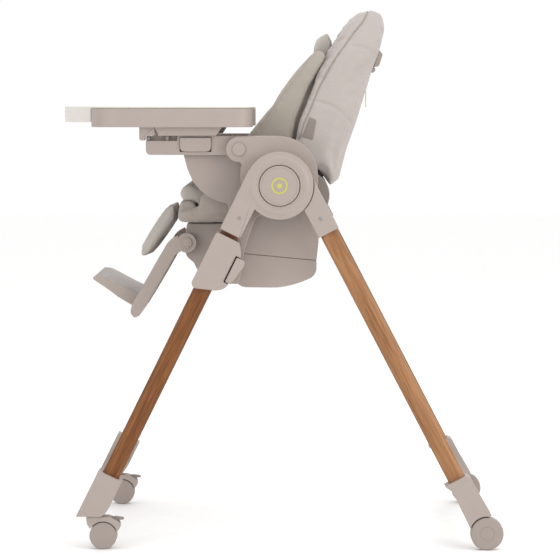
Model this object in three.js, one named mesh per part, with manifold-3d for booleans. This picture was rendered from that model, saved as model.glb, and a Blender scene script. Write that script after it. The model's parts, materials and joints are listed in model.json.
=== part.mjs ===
// Baby high chair: folding frame on two castors and two wheels, height-adjustable reclining seat,
// sliding tray on drop-down arms, leg rest with a plug-in footplate.
// Millimetres, +Z up, the chair faces -X, its left side is at -Y. The origin is on the floor,
// in the middle of the whole chair.
import * as THREE from 'three';
import { mergeVertices } from 'three/addons/utils/BufferGeometryUtils.js';
import Module from 'manifold-3d';

const wasm = await Module();
wasm.setup();

// ---- Driving dimensions -------------------------------------------------------------------
const LEFT = -1;
const RIGHT = 1;
const SIDES = [[LEFT, 'l'], [RIGHT, 'r']];

const HUB = { x: -2, z: 716 };             // axis that both leg pairs meet on
const FRONT_RAKE = THREE.MathUtils.degToRad(26.3);
const REAR_RAKE = THREE.MathUtils.degToRad(27.5);
const FIT = 0.4;                           // clearance round a piece that sits in another
const LEG = { width: 35, thick: 24, corner: 9 };
const FRONT_LEG = { x: -45, y: 256, top: -78, bottom: -715 };
const REAR_LEG = { x: 42.5, y: 258, top: -78, bottom: -722 };

const ROUND = 32;                          // facets of a large round face
const SMALL_ROUND = 16;                    // facets of a pin

const REAR_WHEEL = { x: 405.7, z: 32.5, radius: 32.5, inner: 258, outer: 282 };
const CASTOR = { x: -349.5, z: 27, radius: 27, swivelX: -368, y: 256, gap: 3.2, width: 11.6 };
const FOOT_BASE = 66;                      // underside of the front feet above the floor
const PIN = { x: -81.4, z: 786 };          // tray-arm pivot
const RECLINE = { x: 49.5, z: 693.5 };     // backrest pivot
const LEGREST = { x: -188, z: 598 };       // leg-rest pivot
const SHELL = { outer: 200, inner: 182, floor: 640 };
const TRAY = { back: -55, front: -375, nose: -438.2, half: 250, low: 829, high: 866 };

// ---- Shape helpers ------------------------------------------------------------------------
// A closed outline from [x, z, radius] corners; a corner with a radius is rounded.
function outline(corners) {
  const shape = new THREE.Shape();
  const count = corners.length;
  corners.forEach(([x, z, radius = 0], i) => {
    const before = corners[(i + count - 1) % count];
    const after = corners[(i + 1) % count];
    const here = new THREE.Vector2(x, z);
    const inward = new THREE.Vector2(before[0], before[1]).sub(here);
    const onward = new THREE.Vector2(after[0], after[1]).sub(here);
    const reach = Math.min(radius, inward.length() / 2, onward.length() / 2);
    const start = inward.setLength(reach).add(here);
    const end = onward.setLength(reach).add(here);
    if (i === 0) {
      shape.moveTo(start.x, start.y);
    } else {
      shape.lineTo(start.x, start.y);
    }
    if (reach > 0) {
      shape.quadraticCurveTo(x, z, end.x, end.y);
    }
  });
  shape.closePath();
  return shape;
}

// A side-view outline (x, z) made thick across the chair, from y0 to y1.
function slab(shape, y0, y1, segments = 3) {
  const geometry = new THREE.ExtrudeGeometry(shape, {
    depth: y1 - y0, bevelEnabled: false, curveSegments: segments,
  });
  return geometry.rotateX(Math.PI / 2).translate(0, y1, 0);
}

// Two distances from the middle of the chair as a range of Y on its left or right side.
function sideRange(side, inner, outer) {
  return side === LEFT ? [-outer, -inner] : [inner, outer];
}

// A side-view outline made thick on one side of the chair.
function sideSlab(shape, side, inner, outer, segments = 3) {
  const [y0, y1] = sideRange(side, inner, outer);
  return slab(shape, y0, y1, segments);
}

// A plan outline (x, y) made thick upwards, from z0 to z1.
function plate(shape, z0, z1, segments = 4) {
  const geometry = new THREE.ExtrudeGeometry(shape, {
    depth: z1 - z0, bevelEnabled: false, curveSegments: segments,
  });
  return geometry.translate(0, 0, z0);
}

function block(x0, x1, y0, y1, z0, z1) {
  const geometry = new THREE.BoxGeometry(x1 - x0, y1 - y0, z1 - z0);
  return geometry.translate((x0 + x1) / 2, (y0 + y1) / 2, (z0 + z1) / 2);
}

// A round bar across the chair, on one side of it or right through the middle.
function crossBar(x, z, radius, y0, y1, facets = SMALL_ROUND) {
  const geometry = new THREE.CylinderGeometry(radius, radius, y1 - y0, facets);
  return geometry.translate(x, (y0 + y1) / 2, z);
}

function sideBar(x, z, radius, side, inner, outer, facets = SMALL_ROUND) {
  return crossBar(x, z, radius, ...sideRange(side, inner, outer), facets);
}

function upright(x, y, radius, z0, z1, facets = SMALL_ROUND) {
  const geometry = new THREE.CylinderGeometry(radius, radius, z1 - z0, facets);
  return geometry.rotateX(Math.PI / 2).translate(x, y, (z0 + z1) / 2);
}

function solid(geometry) {
  const bare = geometry.clone();
  bare.deleteAttribute('normal');
  bare.deleteAttribute('uv');
  const merged = mergeVertices(bare, 1e-4);
  return new wasm.Manifold(new wasm.Mesh({
    numProp: 3,
    vertProperties: Float32Array.from(merged.attributes.position.array),
    triVerts: Uint32Array.from(merged.index.array),
  }));
}

function surface(manifold) {
  const mesh = manifold.getMesh();
  const geometry = new THREE.BufferGeometry();
  geometry.setAttribute('position', new THREE.BufferAttribute(mesh.vertProperties, 3));
  geometry.setIndex(new THREE.BufferAttribute(mesh.triVerts, 1));
  geometry.computeVertexNormals();
  return geometry;
}

function join(...pieces) {
  return surface(pieces.map(solid).reduce((all, piece) => all.add(piece)));
}

function cut(geometry, ...tools) {
  return surface(tools.map(solid).reduce((all, tool) => all.subtract(tool), solid(geometry)));
}

function common(...pieces) {
  return surface(pieces.map(solid).reduce((all, piece) => all.intersect(piece)));
}

// ---- Materials ----------------------------------------------------------------------------
const finish = (color, roughness, metalness = 0) => ({ color, roughness, metalness });
const PLASTIC = finish(0xb8aca2, 0.5);
const SHADE_PLASTIC = finish(0xa89c93, 0.55);
const WOOD = finish(0xa5744c, 0.5);
const FABRIC = finish(0xc6bdb6, 0.9);
const LINER = finish(0xb9b5aa, 0.92);
const WHITE_PLASTIC = finish(0xdcd8d2, 0.35);
const STEEL = finish(0xc4c4c4, 0.3, 1);
const WEBBING = finish(0x8d857d, 0.85);

const chair = new THREE.Group();
chair.name = 'baby_high_chair';

const frontFrame = new THREE.Group();
frontFrame.position.set(HUB.x, 0, HUB.z);
frontFrame.rotation.y = FRONT_RAKE;
chair.add(frontFrame);

const rearFrame = new THREE.Group();
rearFrame.position.set(HUB.x, 0, HUB.z);
rearFrame.rotation.y = -REAR_RAKE;
chair.add(rearFrame);

function add(name, geometry, material, parent = chair) {
  const mesh = new THREE.Mesh(geometry, new THREE.MeshStandardMaterial(material));
  mesh.name = name;
  parent.add(mesh);
}

// A point of the chair, seen from a leg frame whose legs point straight down.
function inFrame(x, z, rake) {
  const dx = x - HUB.x;
  const dz = z - HUB.z;
  return {
    x: dx * Math.cos(rake) - dz * Math.sin(rake),
    z: dx * Math.sin(rake) + dz * Math.cos(rake),
  };
}

// ---- Legs, hubs and feet ------------------------------------------------------------------
// A straight oval bar along a leg; grow is the clearance of the pocket that takes it.
function legBar(leg, side, grow = 0, bottom = leg.bottom, top = leg.top) {
  const halfX = LEG.width / 2 + grow;
  const halfY = LEG.thick / 2 + grow;
  const section = outline([
    [-halfX, -halfY, LEG.corner], [halfX, -halfY, LEG.corner],
    [halfX, halfY, LEG.corner], [-halfX, halfY, LEG.corner],
  ]);
  return plate(section, bottom, top, 3).translate(leg.x, side * leg.y, 0);
}

const DISC = { radius: 66, inner: 262, outer: 283 };
const REAR_DISC = { radius: 64, inner: 240, outer: 261.4 };
const SPIGOT = 14;
const CAP = { radius: 39, inner: 277, outer: 286.8 };
const ARM_HALF = 22;                       // half the width of the arms below the discs
const ARM_END = -126;                      // lower end of the sockets, along the leg
const SOCKET_TOP = -72;

function armOutline(leg, top, bottom) {
  const low = leg.x - ARM_HALF;
  const high = leg.x + ARM_HALF;
  return outline([[low, top], [high, top], [high, bottom, 3], [low, bottom, 3]]);
}

function frontHub(side) {
  const arm = armOutline(FRONT_LEG, 0, ARM_END);
  const socket = armOutline(FRONT_LEG, SOCKET_TOP, ARM_END);
  const whole = join(
    sideBar(0, 0, DISC.radius, side, DISC.inner, DISC.outer, 48),
    sideSlab(arm, side, DISC.inner, DISC.outer - 2),
    sideSlab(socket, side, REAR_DISC.inner, DISC.outer - 2),
    sideBar(0, 0, SPIGOT, side, REAR_DISC.inner + 0.5, DISC.inner + 1, 24),
  );
  return cut(
    whole,
    sideBar(0, 0, CAP.radius + 0.8, side, CAP.inner - 5, DISC.outer + 1, ROUND),
    legBar(FRONT_LEG, side, FIT, ARM_END - 5, FRONT_LEG.top + FIT),
  );
}

function rearHub(side) {
  const arm = armOutline(REAR_LEG, 0, ARM_END);
  const raised = cut(
    sideSlab(armOutline(REAR_LEG, -18, ARM_END), side, REAR_DISC.inner, DISC.outer - 4.6),
    sideBar(0, 0, DISC.radius + 1.2, side, REAR_DISC.outer, DISC.outer + 5, 48),
  );
  const whole = join(
    sideBar(0, 0, REAR_DISC.radius, side, REAR_DISC.inner, REAR_DISC.outer, 48),
    sideSlab(arm, side, REAR_DISC.inner, REAR_DISC.outer),
    raised,
  );
  return cut(
    whole,
    sideBar(0, 0, SPIGOT + 0.7, side, REAR_DISC.inner - 1, REAR_DISC.outer + 1, 24),
    legBar(REAR_LEG, side, FIT, ARM_END - 10, REAR_LEG.top + FIT),
  );
}

function frontFoot(side) {
  const sole = [[-402, FOOT_BASE], [-350, FOOT_BASE]].map(([x, z]) => inFrame(x, z, FRONT_RAKE));
  const shape = outline([
    [-71, -658, 2], [-71, sole[0].z, 2], [sole[1].x, sole[1].z, 6], [-20, -718, 12], [-20, -658, 2],
  ]);
  const stem = inFrame(CASTOR.swivelX, FOOT_BASE, FRONT_RAKE);
  const bore = upright(0, 0, 5.6, -25, 17).rotateY(-FRONT_RAKE);
  bore.translate(stem.x, side * CASTOR.y, stem.z);
  return cut(
    sideSlab(shape, side, 240, 277),
    legBar(FRONT_LEG, side, FIT, FRONT_LEG.bottom - FIT, -650),
    bore,
  );
}

function rearFoot(side) {
  const wheel = inFrame(REAR_WHEEL.x, REAR_WHEEL.z, -REAR_RAKE);
  const shape = outline([
    [15, -673, 2], [62, -673, 2], [68.5, -680, 4], [68.5, -716, 8],
    [71, -766, 2], [21.5, -773, 2], [23.5, -706, 4], [23, -688, 4],
  ]);
  const cheek = outline([
    [28, -740], [64, -740], [60, wheel.z, 10], [wheel.x, wheel.z - 15, 8], [32, wheel.z, 10],
  ]);
  const arch = sideBar(wheel.x, wheel.z, REAR_WHEEL.radius + 2.5, side, 230, 300, 40);
  const boot = cut(sideSlab(shape, side, 241, 281), arch);
  return cut(
    join(boot, sideSlab(cheek, side, 242, REAR_WHEEL.inner - 2.4)),
    legBar(REAR_LEG, side, FIT, REAR_LEG.bottom - FIT, -660),
    sideBar(wheel.x, wheel.z, 5.3, side, 230, 290),
  );
}

for (const [side, end] of SIDES) {
  add(`front_leg_${end}`, legBar(FRONT_LEG, side), WOOD, frontFrame);
  add(`rear_leg_${end}`, legBar(REAR_LEG, side), WOOD, rearFrame);
  add(`front_hub_${end}`, frontHub(side), PLASTIC, frontFrame);
  add(`rear_hub_${end}`, rearHub(side), PLASTIC, rearFrame);
  add(`front_foot_${end}`, frontFoot(side), PLASTIC, frontFrame);
  add(`rear_foot_${end}`, rearFoot(side), PLASTIC, rearFrame);
  const button = sideBar(0, 0, CAP.radius, side, CAP.inner, CAP.outer, ROUND);
  add(`fold_button_${end}`, button, PLASTIC, frontFrame);
}

// An oval bar between the two feet of a leg pair.
function crossbar(x, z, half) {
  const section = outline([
    [x - 15, z - 11, 9], [x + 15, z - 11, 9], [x + 15, z + 11, 9], [x - 15, z + 11, 9],
  ]);
  return slab(section, -half, half);
}

add('front_crossbar', crossbar(-44, -697, 239.6), PLASTIC, frontFrame);
add('rear_crossbar', crossbar(41, -697, 240.6), PLASTIC, rearFrame);

// ---- Wheels and castors -------------------------------------------------------------------
function castorWheels(side) {
  const near = CASTOR.gap;
  const far = CASTOR.gap + CASTOR.width;
  return join(
    crossBar(CASTOR.x, CASTOR.z, CASTOR.radius, near, far, ROUND),
    crossBar(CASTOR.x, CASTOR.z, CASTOR.radius, -far, -near, ROUND),
    crossBar(CASTOR.x, CASTOR.z, 5, -near - 1, near + 1),
  ).translate(0, side * CASTOR.y, 0);
}

// The hood arches over both wheels, a fin between them holds the axle and a stem turns in the foot.
function castorHood(side) {
  const half = CASTOR.gap + CASTOR.width;
  const arch = outline([
    [-383, 64.8, 3], [-381, 50, 4], [-374.5, 40], [-349.5, 48], [-321, 36], [-315, 44, 3],
    [-318, 56, 10], [-338, 64.8, 6],
  ]);
  const wheels = crossBar(CASTOR.x, CASTOR.z, CASTOR.radius + 1.6, -half - 1, half + 1, ROUND);
  const fin = outline([[-376, 55], [-362, 22, 8], [-342, 18, 8], [-322, 45], [-340, 58]]);
  const body = join(
    cut(slab(arch, -half, half), wheels),
    slab(fin, -CASTOR.gap + 0.6, CASTOR.gap - 0.6),
    upright(CASTOR.swivelX, 0, 5, 60, 80),
  );
  const brakeSeat = block(-334, -317, -6.6, 6.6, 51, 80);
  const axleBore = crossBar(CASTOR.x, CASTOR.z, 5.6, -10, 10);
  return cut(body, axleBore, brakeSeat).translate(0, side * CASTOR.y, 0);
}

function castorBrake(side) {
  const shape = outline([
    [-332, 52.5, 1], [-332, 62, 2], [-326, 64, 2], [-309, 61.5, 1.5], [-309, 58, 1.5], [-322, 57],
    [-324, 52.5, 1],
  ]);
  return slab(shape, -6, 6).translate(0, side * CASTOR.y, 0);
}

// A plain wheel with a blind bore; its axle is fixed in the foot.
function rearWheel(side) {
  const { x, z, radius, inner, outer } = REAR_WHEEL;
  return cut(sideBar(x, z, radius, side, inner, outer, 40), sideBar(x, z, 5.6, side, inner - 1, outer - 3));
}

function rearAxle(side) {
  return sideBar(REAR_WHEEL.x, REAR_WHEEL.z, 5, side, 243, REAR_WHEEL.outer - 3.5);
}

for (const [side, end] of SIDES) {
  add(`castor_wheel_${end}`, castorWheels(side), PLASTIC);
  add(`castor_hood_${end}`, castorHood(side), PLASTIC);
  add(`castor_brake_${end}`, castorBrake(side), SHADE_PLASTIC);
  add(`rear_wheel_${end}`, rearWheel(side), PLASTIC);
  add(`rear_axle_${end}`, rearAxle(side), STEEL);
}

// ---- Seat carriage: plates, sliders, triggers ---------------------------------------------
const PLATE = { inner: 222, outer: 238.6 };

function carriagePlate(side) {
  const crown = { x: -3, z: 735.5, radius: 76 };
  const body = outline([
    [PIN.x, 811.5], [crown.x, 811.5], [crown.x, 735], [73, 735], [73, 690, 20], [30, 662, 12],
    [-48, 656, 10], [-71, 590, 20], [-82, 522, 6], [-150, 522, 6], [-150, 548], [-92, 662],
    [-63, 742, 12], [PIN.x, 762],
  ]);
  const spacer = sideBar(14, 733, 40, side, SHELL.outer + 0.3, PLATE.inner + 1, 24);
  const whole = join(
    sideSlab(body, side, PLATE.inner, PLATE.outer),
    sideBar(crown.x, crown.z, crown.radius, side, PLATE.inner, PLATE.outer, 48),
    sideBar(PIN.x, PIN.z, 25.5, side, PLATE.inner, PLATE.outer, ROUND),
    spacer,
  );
  return cut(whole, sideBar(PIN.x, PIN.z, 8.3, side, 200, 250));
}

function heightSlider(side) {
  const shape = outline([
    [-70, -134, 4], [-21, -134, 3], [-8, -150, 8], [-3.2, -166, 6], [-3.4, -214, 6], [-8, -229, 8],
    [-21, -238, 6], [-62, -253, 6], [-70.5, -246, 5],
  ]);
  return cut(
    sideSlab(shape, side, PLATE.outer + 0.4, 281.5),
    legBar(FRONT_LEG, side, FIT + 0.1, -260, -120),
    block(-16, 20, ...sideRange(side, 246, 290), -216, -160),
  );
}

function heightTrigger(side) {
  const shape = outline([
    [-12.5, -161.5, 2], [4, -161.5, 3], [8, -170, 4], [2, -206, 4], [-4, -214.5, 3], [-12.5, -214.5, 2],
  ]);
  return sideSlab(shape, side, 247, 283);
}

function armPin(side) {
  const head = sideBar(PIN.x, PIN.z, 13, side, PLATE.outer + 0.4, PLATE.outer + 3, ROUND);
  const shank = sideBar(PIN.x, PIN.z, 7.8, side, 204, PLATE.outer + 1);
  return join(head, shank);
}

for (const [side, end] of SIDES) {
  add(`carriage_plate_${end}`, carriagePlate(side), PLASTIC);
  add(`height_slider_${end}`, heightSlider(side), PLASTIC, frontFrame);
  add(`height_trigger_${end}`, heightTrigger(side), PLASTIC, frontFrame);
  add(`arm_pin_${end}`, armPin(side), PLASTIC);
}

// ---- Seat shell, base and soft seat --------------------------------------------------------
function seatShell() {
  const side = outline([
    [-191, 808, 8], [-191, 772], [-184, 746], [-173, 721], [-159, 704.5], [-143, 691], [-123, 682],
    [-104, 678, 6], [-98, 640], [-98, 582], [71, 566], [75, 602], [75, 700, 20], [56, 770, 20],
    [10, 812, 20], [-185, 812, 6],
  ]);
  const inner = SHELL.inner;
  return cut(
    slab(side, -SHELL.outer, SHELL.outer),
    block(-300, 100, -inner, inner, SHELL.floor, 900),
    crossBar(RECLINE.x, RECLINE.z, 67, -inner, inner, 40),
    block(-86, 62, -inner, inner, 500, 612),
    crossBar(RECLINE.x, RECLINE.z, 8.3, -197, 197),
  );
}

function seatBase() {
  const tub = outline([
    [-98, 581.4], [-98, 536], [-80, 512, 12], [0, 511, 20], [36, 520, 20], [64, 532, 8], [71, 545, 6],
    [71, 565.4],
  ]);
  const knuckle = outline([
    [-98.5, 636], [-188, 636, 3], [-192, 606, 6], [-192, 578, 8], [-186, 566, 6], [-174, 557, 4],
    [-169, 544, 8], [-150, 526, 16], [-80, 511.5, 12], [-80, 560], [-98.5, 560],
  ]);
  const whole = join(slab(tub, -198, 198), slab(knuckle, -140, 140));
  return cut(
    whole,
    block(-86, 60, -188, 188, 524, 600),
    crossBar(LEGREST.x, LEGREST.z, 8.4, -150, 150),
    block(-172, -105, -128, 128, 552, 626),
    block(-110, -80, -120, 120, 530, 575),
  );
}

add('seat_shell', seatShell(), PLASTIC);
add('seat_base', seatBase(), PLASTIC);
add('recline_axle', crossBar(RECLINE.x, RECLINE.z, 8, -196, 196), STEEL);

// The padded cover lies in the shell, reaches over its front edge and stands up along both sides.
function seatCover() {
  const bottom = outline([
    [-209, 641, 8], [-209, 662, 8], [-170, 667, 4], [-166, 661], [-20, 661], [-20, 640.6],
    [-166, 640.6],
  ]);
  const bolster = outline([[-165, 660], [-163, 690, 6], [-150, 704, 8], [-20, 712, 8], [-20, 660]]);
  const front = outline([[-201, 661], [-201, 681, 3], [-176, 681, 3], [-169.4, 675], [-169.4, 661]]);
  const half = SHELL.inner - 0.5;
  const inner = 166;
  return join(
    slab(bottom, -half, half),
    slab(front, -160, 160),
    slab(bolster, -half, -inner),
    slab(bolster, inner, half),
  );
}

function seatCushion() {
  const shape = outline([
    [-166, 662], [-168, 682, 6], [-205, 684, 10], [-213, 700, 12], [-200, 719, 12], [-180, 719, 12],
    [-150, 703, 16], [-22, 694, 8], [-22, 662, 6],
  ]);
  return slab(shape, -163, 163);
}

add('seat_cover', seatCover(), FABRIC);
add('seat_cushion', seatCushion(), LINER);

// ---- Tray arms and tray -------------------------------------------------------------------
const ARM = { inner: 203, outer: 220.5, low: 774.5, high: 811.6 };
const BUTTON = { x0: -197.6, x1: -136.6, z0: 781, z1: 808.5 };

function trayArm(side) {
  const shape = outline([
    [PIN.x, ARM.low], [-264.7, ARM.low, 10], [-264.7, 802, 2], [-203, 802], [-203, ARM.high, 2],
    [PIN.x, ARM.high],
  ]);
  const whole = join(
    sideSlab(shape, side, ARM.inner, ARM.outer),
    sideBar(PIN.x, PIN.z, 25.6, side, ARM.inner, ARM.outer, 30),
  );
  const { x0, x1, z0, z1 } = BUTTON;
  const pocket = block(x0 - 0.6, x1 + 0.6, ...sideRange(side, 211, 230), z0 - 0.6, z1 + 0.6);
  const ledgeWall = block(-258, -203, ...sideRange(side, ARM.inner, 208), 801, ARM.high);
  return join(cut(whole, pocket, sideBar(PIN.x, PIN.z, 8.3, side, 200, 230)), ledgeWall);
}

function trayButton(side) {
  const { x0, x1, z0, z1 } = BUTTON;
  const shape = outline([[x0, z1, 2], [x0, z0, 10], [x1, z0, 10], [x1, z1, 2]]);
  return sideSlab(shape, side, 215, 225.5);
}

// The slider is moulded under the tray and runs along the top of the arm.
function traySlider(side) {
  const rail = outline([[-247.6, 830], [-238, 812.3], [-126, 812.3], [-114.6, 830]]);
  const catcher = outline([
    [-277, 830], [-277, 803, 4], [-265.8, 803, 2], [-265.8, 812.4], [-247, 812.4], [-247, 830],
  ]);
  const bridge = block(-250, -245, ...sideRange(side, 206, 230), 813, 830);
  return join(sideSlab(rail, side, 204, 234), sideSlab(catcher, side, 204, 232), bridge);
}

for (const [side, end] of SIDES) {
  add(`tray_arm_${end}`, trayArm(side), PLASTIC);
  add(`tray_button_${end}`, trayButton(side), PLASTIC);
}

// The tray seen from above, with a bay in its rear edge for the child; inset shrinks it all round.
function trayPlan(inset, corner) {
  const half = TRAY.half - inset;
  const back = TRAY.back - inset;
  const front = TRAY.front + inset;
  const horn = 158 + inset / 2;
  const cheek = 120 + inset / 2;
  return outline([
    [front, -half, corner], [back, -half, 38], [back, -horn, 26], [-150 - inset, -cheek, 60],
    [-168 - inset, 0, 60], [-150 - inset, cheek, 60], [back, horn, 26], [back, half, 38],
    [front, half, corner],
  ]);
}

const WALL = 7;
const RIM = 3;                             // thickness of the insert's rim on top of the wall

function trayBase() {
  return cut(
    join(plate(trayPlan(0, 70), TRAY.low, TRAY.high), traySlider(LEFT), traySlider(RIGHT)),
    plate(trayPlan(WALL, 66), TRAY.low + 5, TRAY.high + 1),
  );
}

// The insert drops into the base; its rim covers the wall and its nose reaches out in front.
function trayInsert() {
  const rimLow = TRAY.high + FIT;
  const rimHigh = rimLow + RIM;
  const root = TRAY.front + 30;
  const nose = outline([
    [root, -170], [TRAY.nose, -120, 70], [TRAY.nose, 120, 70], [root, 170],
  ]);
  const rim = plate(trayPlan(0, 70), rimLow, rimHigh);
  const bowl = plate(trayPlan(WALL + 1.2, 66), TRAY.low + 8, rimLow + 1);
  const bill = cut(
    plate(nose, 838, rimHigh),
    block(TRAY.front - RIM, 0, -300, 300, 800, rimLow),
  );
  return cut(join(rim, bowl, bill), plate(trayPlan(WALL + 5, 60), TRAY.low + 12, 900));
}

add('tray_base', trayBase(), PLASTIC);
add('tray_insert', trayInsert(), WHITE_PLASTIC);

// ---- Backrest -----------------------------------------------------------------------------
const FRONT_EDGE = [
  [22, 790], [26.6, 809], [31.6, 840], [57.4, 909], [72.8, 945], [118.8, 1014], [139, 1039],
  [159.7, 1054],
];
const REAR_EDGE = [
  [204.7, 1027], [194.4, 988], [176.2, 939], [160.5, 889], [145, 839], [126.5, 787], [116, 748],
  [110, 722],
];

function backrestProfile() {
  const foot = [[98, 694, 12], [76, 680, 8], [30, 718, 10], [12, 740, 10]];
  const crown = [[180, 1065, 10], [206, 1054, 10]];
  return outline([...FRONT_EDGE, ...crown, ...REAR_EDGE, ...foot]);
}

// Seen from the front, the backrest narrows to a round top.
function headOutline(half, top) {
  const shoulder = half - 22;
  const crown = half - 80;
  return outline([
    [-half, 640], [half, 640], [half, 860, 60], [shoulder, top - 60, 80], [crown, top, 60],
    [-crown, top, 60], [-shoulder, top - 60, 80], [-half, 860, 60],
  ]);
}

// A front-view outline (y, z) made thick along the chair.
function lengthways(shape, x0, x1) {
  const geometry = new THREE.ExtrudeGeometry(shape, {
    depth: x1 - x0, bevelEnabled: false, curveSegments: 5,
  });
  return geometry.rotateX(Math.PI / 2).rotateZ(Math.PI / 2).translate(x0, 0, 0);
}

const BARREL = 48;                         // radius of the barrel the backrest turns on
const SKIN = 26;                           // depth of the padded back behind the lining, along X
const PANEL = 10;                          // depth of the stiff panel in front of it

function backrestSlab(half, shift = 0) {
  return slab(backrestProfile(), -half, half).translate(-shift, 0, 0);
}

// The slice of the backrest that lies between two distances in front of its rear face.
function backSlice(near, far, half, z0, z1) {
  const room = block(-100, 300, -half, half, z0, z1);
  return cut(common(backrestSlab(half, near), room), backrestSlab(half + 1, far));
}

// The room inside the padded bucket, as seen from the front.
function bucket(half, top) {
  return lengthways(headOutline(half, top), -60, 260);
}

function backrestCover() {
  const whole = common(backrestSlab(166), bucket(166, 1067));
  const hollow = common(backrestSlab(200, SKIN), bucket(136, 1040));
  return cut(
    whole,
    hollow,
    crossBar(RECLINE.x, RECLINE.z, BARREL + 0.8, -170, 170, 40),
    block(-40, 130, -170, 170, 600, 700),
  );
}

function backrestFrame() {
  const neck = outline([[30, 700], [80, 700], [86, 740], [60, 740]]);
  const half = 118;
  const panel = common(backSlice(SKIN + FIT, SKIN + PANEL, half, 715, 985), bucket(132, 1030));
  return cut(
    join(
      crossBar(RECLINE.x, RECLINE.z, BARREL, -160, 160, 40),
      slab(neck, -half, half),
      panel,
    ),
    crossBar(RECLINE.x, RECLINE.z, 9, -170, 170),
  );
}

add('backrest_cover', backrestCover(), FABRIC);
add('backrest_frame', backrestFrame(), SHADE_PLASTIC);

// The lever behind the head end is pulled to recline; the cord hangs from the rear face below it.
function reclineLever() {
  const shape = outline([
    [195.5, 984, 2], [199, 986, 3], [208, 976, 4], [200, 951, 3], [189, 951, 2], [194.5, 972, 3],
  ]);
  return slab(shape, -38, 38);
}

const CORD = { x: 174.5, top: 919, bottom: 868, radius: 1.1 };
add('recline_lever', reclineLever(), SHADE_PLASTIC);
add('pull_cord', upright(CORD.x, 0, CORD.radius, CORD.bottom, CORD.top, 8), WEBBING);

// ---- Soft lining and harness ----------------------------------------------------------------
const PAD = 28;                            // depth of the padding in front of the panel
const LINING = SKIN + PANEL + 1;           // its rear face, in front of the backrest's rear face

// A line that runs up the backrest, the given distance in front of its rear face.
function upBack(distance, from, to) {
  return REAR_EDGE.slice(from, to + 1).map(([x, z]) => [x - distance, z]);
}

// A padded back with a wing forward on both sides.
function liner() {
  const wing = outline([
    [-67, 812, 10], [-21.6, 872], [18.5, 932], [46, 966, 6], [66, 985, 7], [84, 975, 6], [66, 938],
    [53, 909], [27.6, 840], [22.6, 809], [18, 790], [8, 752, 10], [-70, 740, 20], [-92, 772, 14],
  ]);
  const half = 130;
  const back = common(
    backrestSlab(half, 12),
    backrestSlab(half, LINING),
    bucket(132, 1030),
    block(-100, 300, -half, half, 752, 966),
  );
  const hollow = outline([[-220, 990], ...upBack(LINING + PAD, 1, 7), [-220, 700]]);
  return cut(join(slab(wing, -146, 146), back), slab(hollow, -108, 108));
}

function headPillow() {
  const shape = outline([
    [66, 972, 6], [68, 988, 8], [77, 1006, 8], [86, 1014, 5], [95, 1019, 2], [102, 994, 6], [99, 974, 6],
    [86, 966, 6],
  ]);
  return slab(shape, -96, 96);
}

const WEB = 2;                             // thickness of the harness webbing

function shoulderStrap(side) {
  const back = LINING + PAD + 1;
  const shape = outline([...upBack(back + WEB, 2, 5), ...upBack(back, 2, 5).reverse()]);
  return sideSlab(shape, side, 32, 60);
}

const BUCKLE = { x: -81.5, z: 749.2, lean: THREE.MathUtils.degToRad(27.3) };

// A piece made upright round the origin, put in the buckle's place.
function atBuckle(geometry) {
  return geometry.rotateY(BUCKLE.lean).translate(BUCKLE.x, 0, BUCKLE.z);
}

function harnessBuckle() {
  const shape = outline([[-5.6, -21.5, 4], [5.6, -21.5, 4], [5.6, 21.5, 4], [-5.6, 21.5, 4]]);
  const pocket = block(-20, 2.9, -9, 9, -7, 7);
  return atBuckle(cut(slab(shape, -24, 24), pocket));
}

function crotchStrap() {
  const shape = outline([[-104, 704.6], [-101, 704.6], [-89, 726.4], [-92, 728.2]]);
  return slab(shape, -13, 13);
}

add('liner', liner(), LINER);
add('head_pillow', headPillow(), LINER);
for (const [side, end] of SIDES) {
  add(`shoulder_strap_${end}`, shoulderStrap(side), WEBBING);
}
add('crotch_strap', crotchStrap(), WEBBING);
add('harness_buckle', harnessBuckle(), SHADE_PLASTIC);
add('buckle_button', atBuckle(block(-8.2, 0.4, -8, 8, -6, 6)), PLASTIC);

// ---- Leg rest -----------------------------------------------------------------------------
// Square to the leg rest, out of its front face.
const FOOT_DIRECTION = { x: -0.868, z: 0.496 };

// Middles of the three slots on the front face, lowest first.
const SLOTS = [[-291.3, 486.6], [-270.5, 523], [-249.7, 559.5]];

// A bar across the chair, square to the leg rest's front face at one of the slots.
function tongue(point, deep, proud, over, half) {
  const across = { x: FOOT_DIRECTION.z, z: -FOOT_DIRECTION.x };
  const corners = [[-deep, -over], [proud, -over], [proud, over], [-deep, over]];
  const shape = outline(corners.map(([out, up]) => [
    point[0] + out * FOOT_DIRECTION.x + up * across.x,
    point[1] + out * FOOT_DIRECTION.z + up * across.z,
  ]));
  return slab(shape, -half, half);
}

function legrestFrame() {
  const arm = outline([
    [-205.5, 613], [-223.4, 603, 10], [-249.3, 559.3], [-297, 475.7], [-302, 458, 8],
    [-293, 447, 8], [-283, 452], [-263, 484], [-237.3, 527.4], [-211.5, 573.2], [-199.5, 581.2],
  ]);
  const web = outline([
    [-228, 594], [-249.3, 559.3], [-297, 475.7], [-302, 458, 6], [-293, 447, 6], [-283, 452],
    [-290, 462], [-242, 552], [-220, 590],
  ]);
  const pieces = [slab(web, -148, 148)];
  for (const [side] of SIDES) {
    pieces.push(sideSlab(arm, side, 146, 162));
    pieces.push(sideBar(LEGREST.x, LEGREST.z, 19.5, side, 146, 162, ROUND));
  }
  const slots = SLOTS.map((point) => tongue(point, 20, 10, 6.5, 62.5));
  return cut(join(...pieces), ...slots, crossBar(LEGREST.x, LEGREST.z, 8.4, -170, 170));
}

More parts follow.
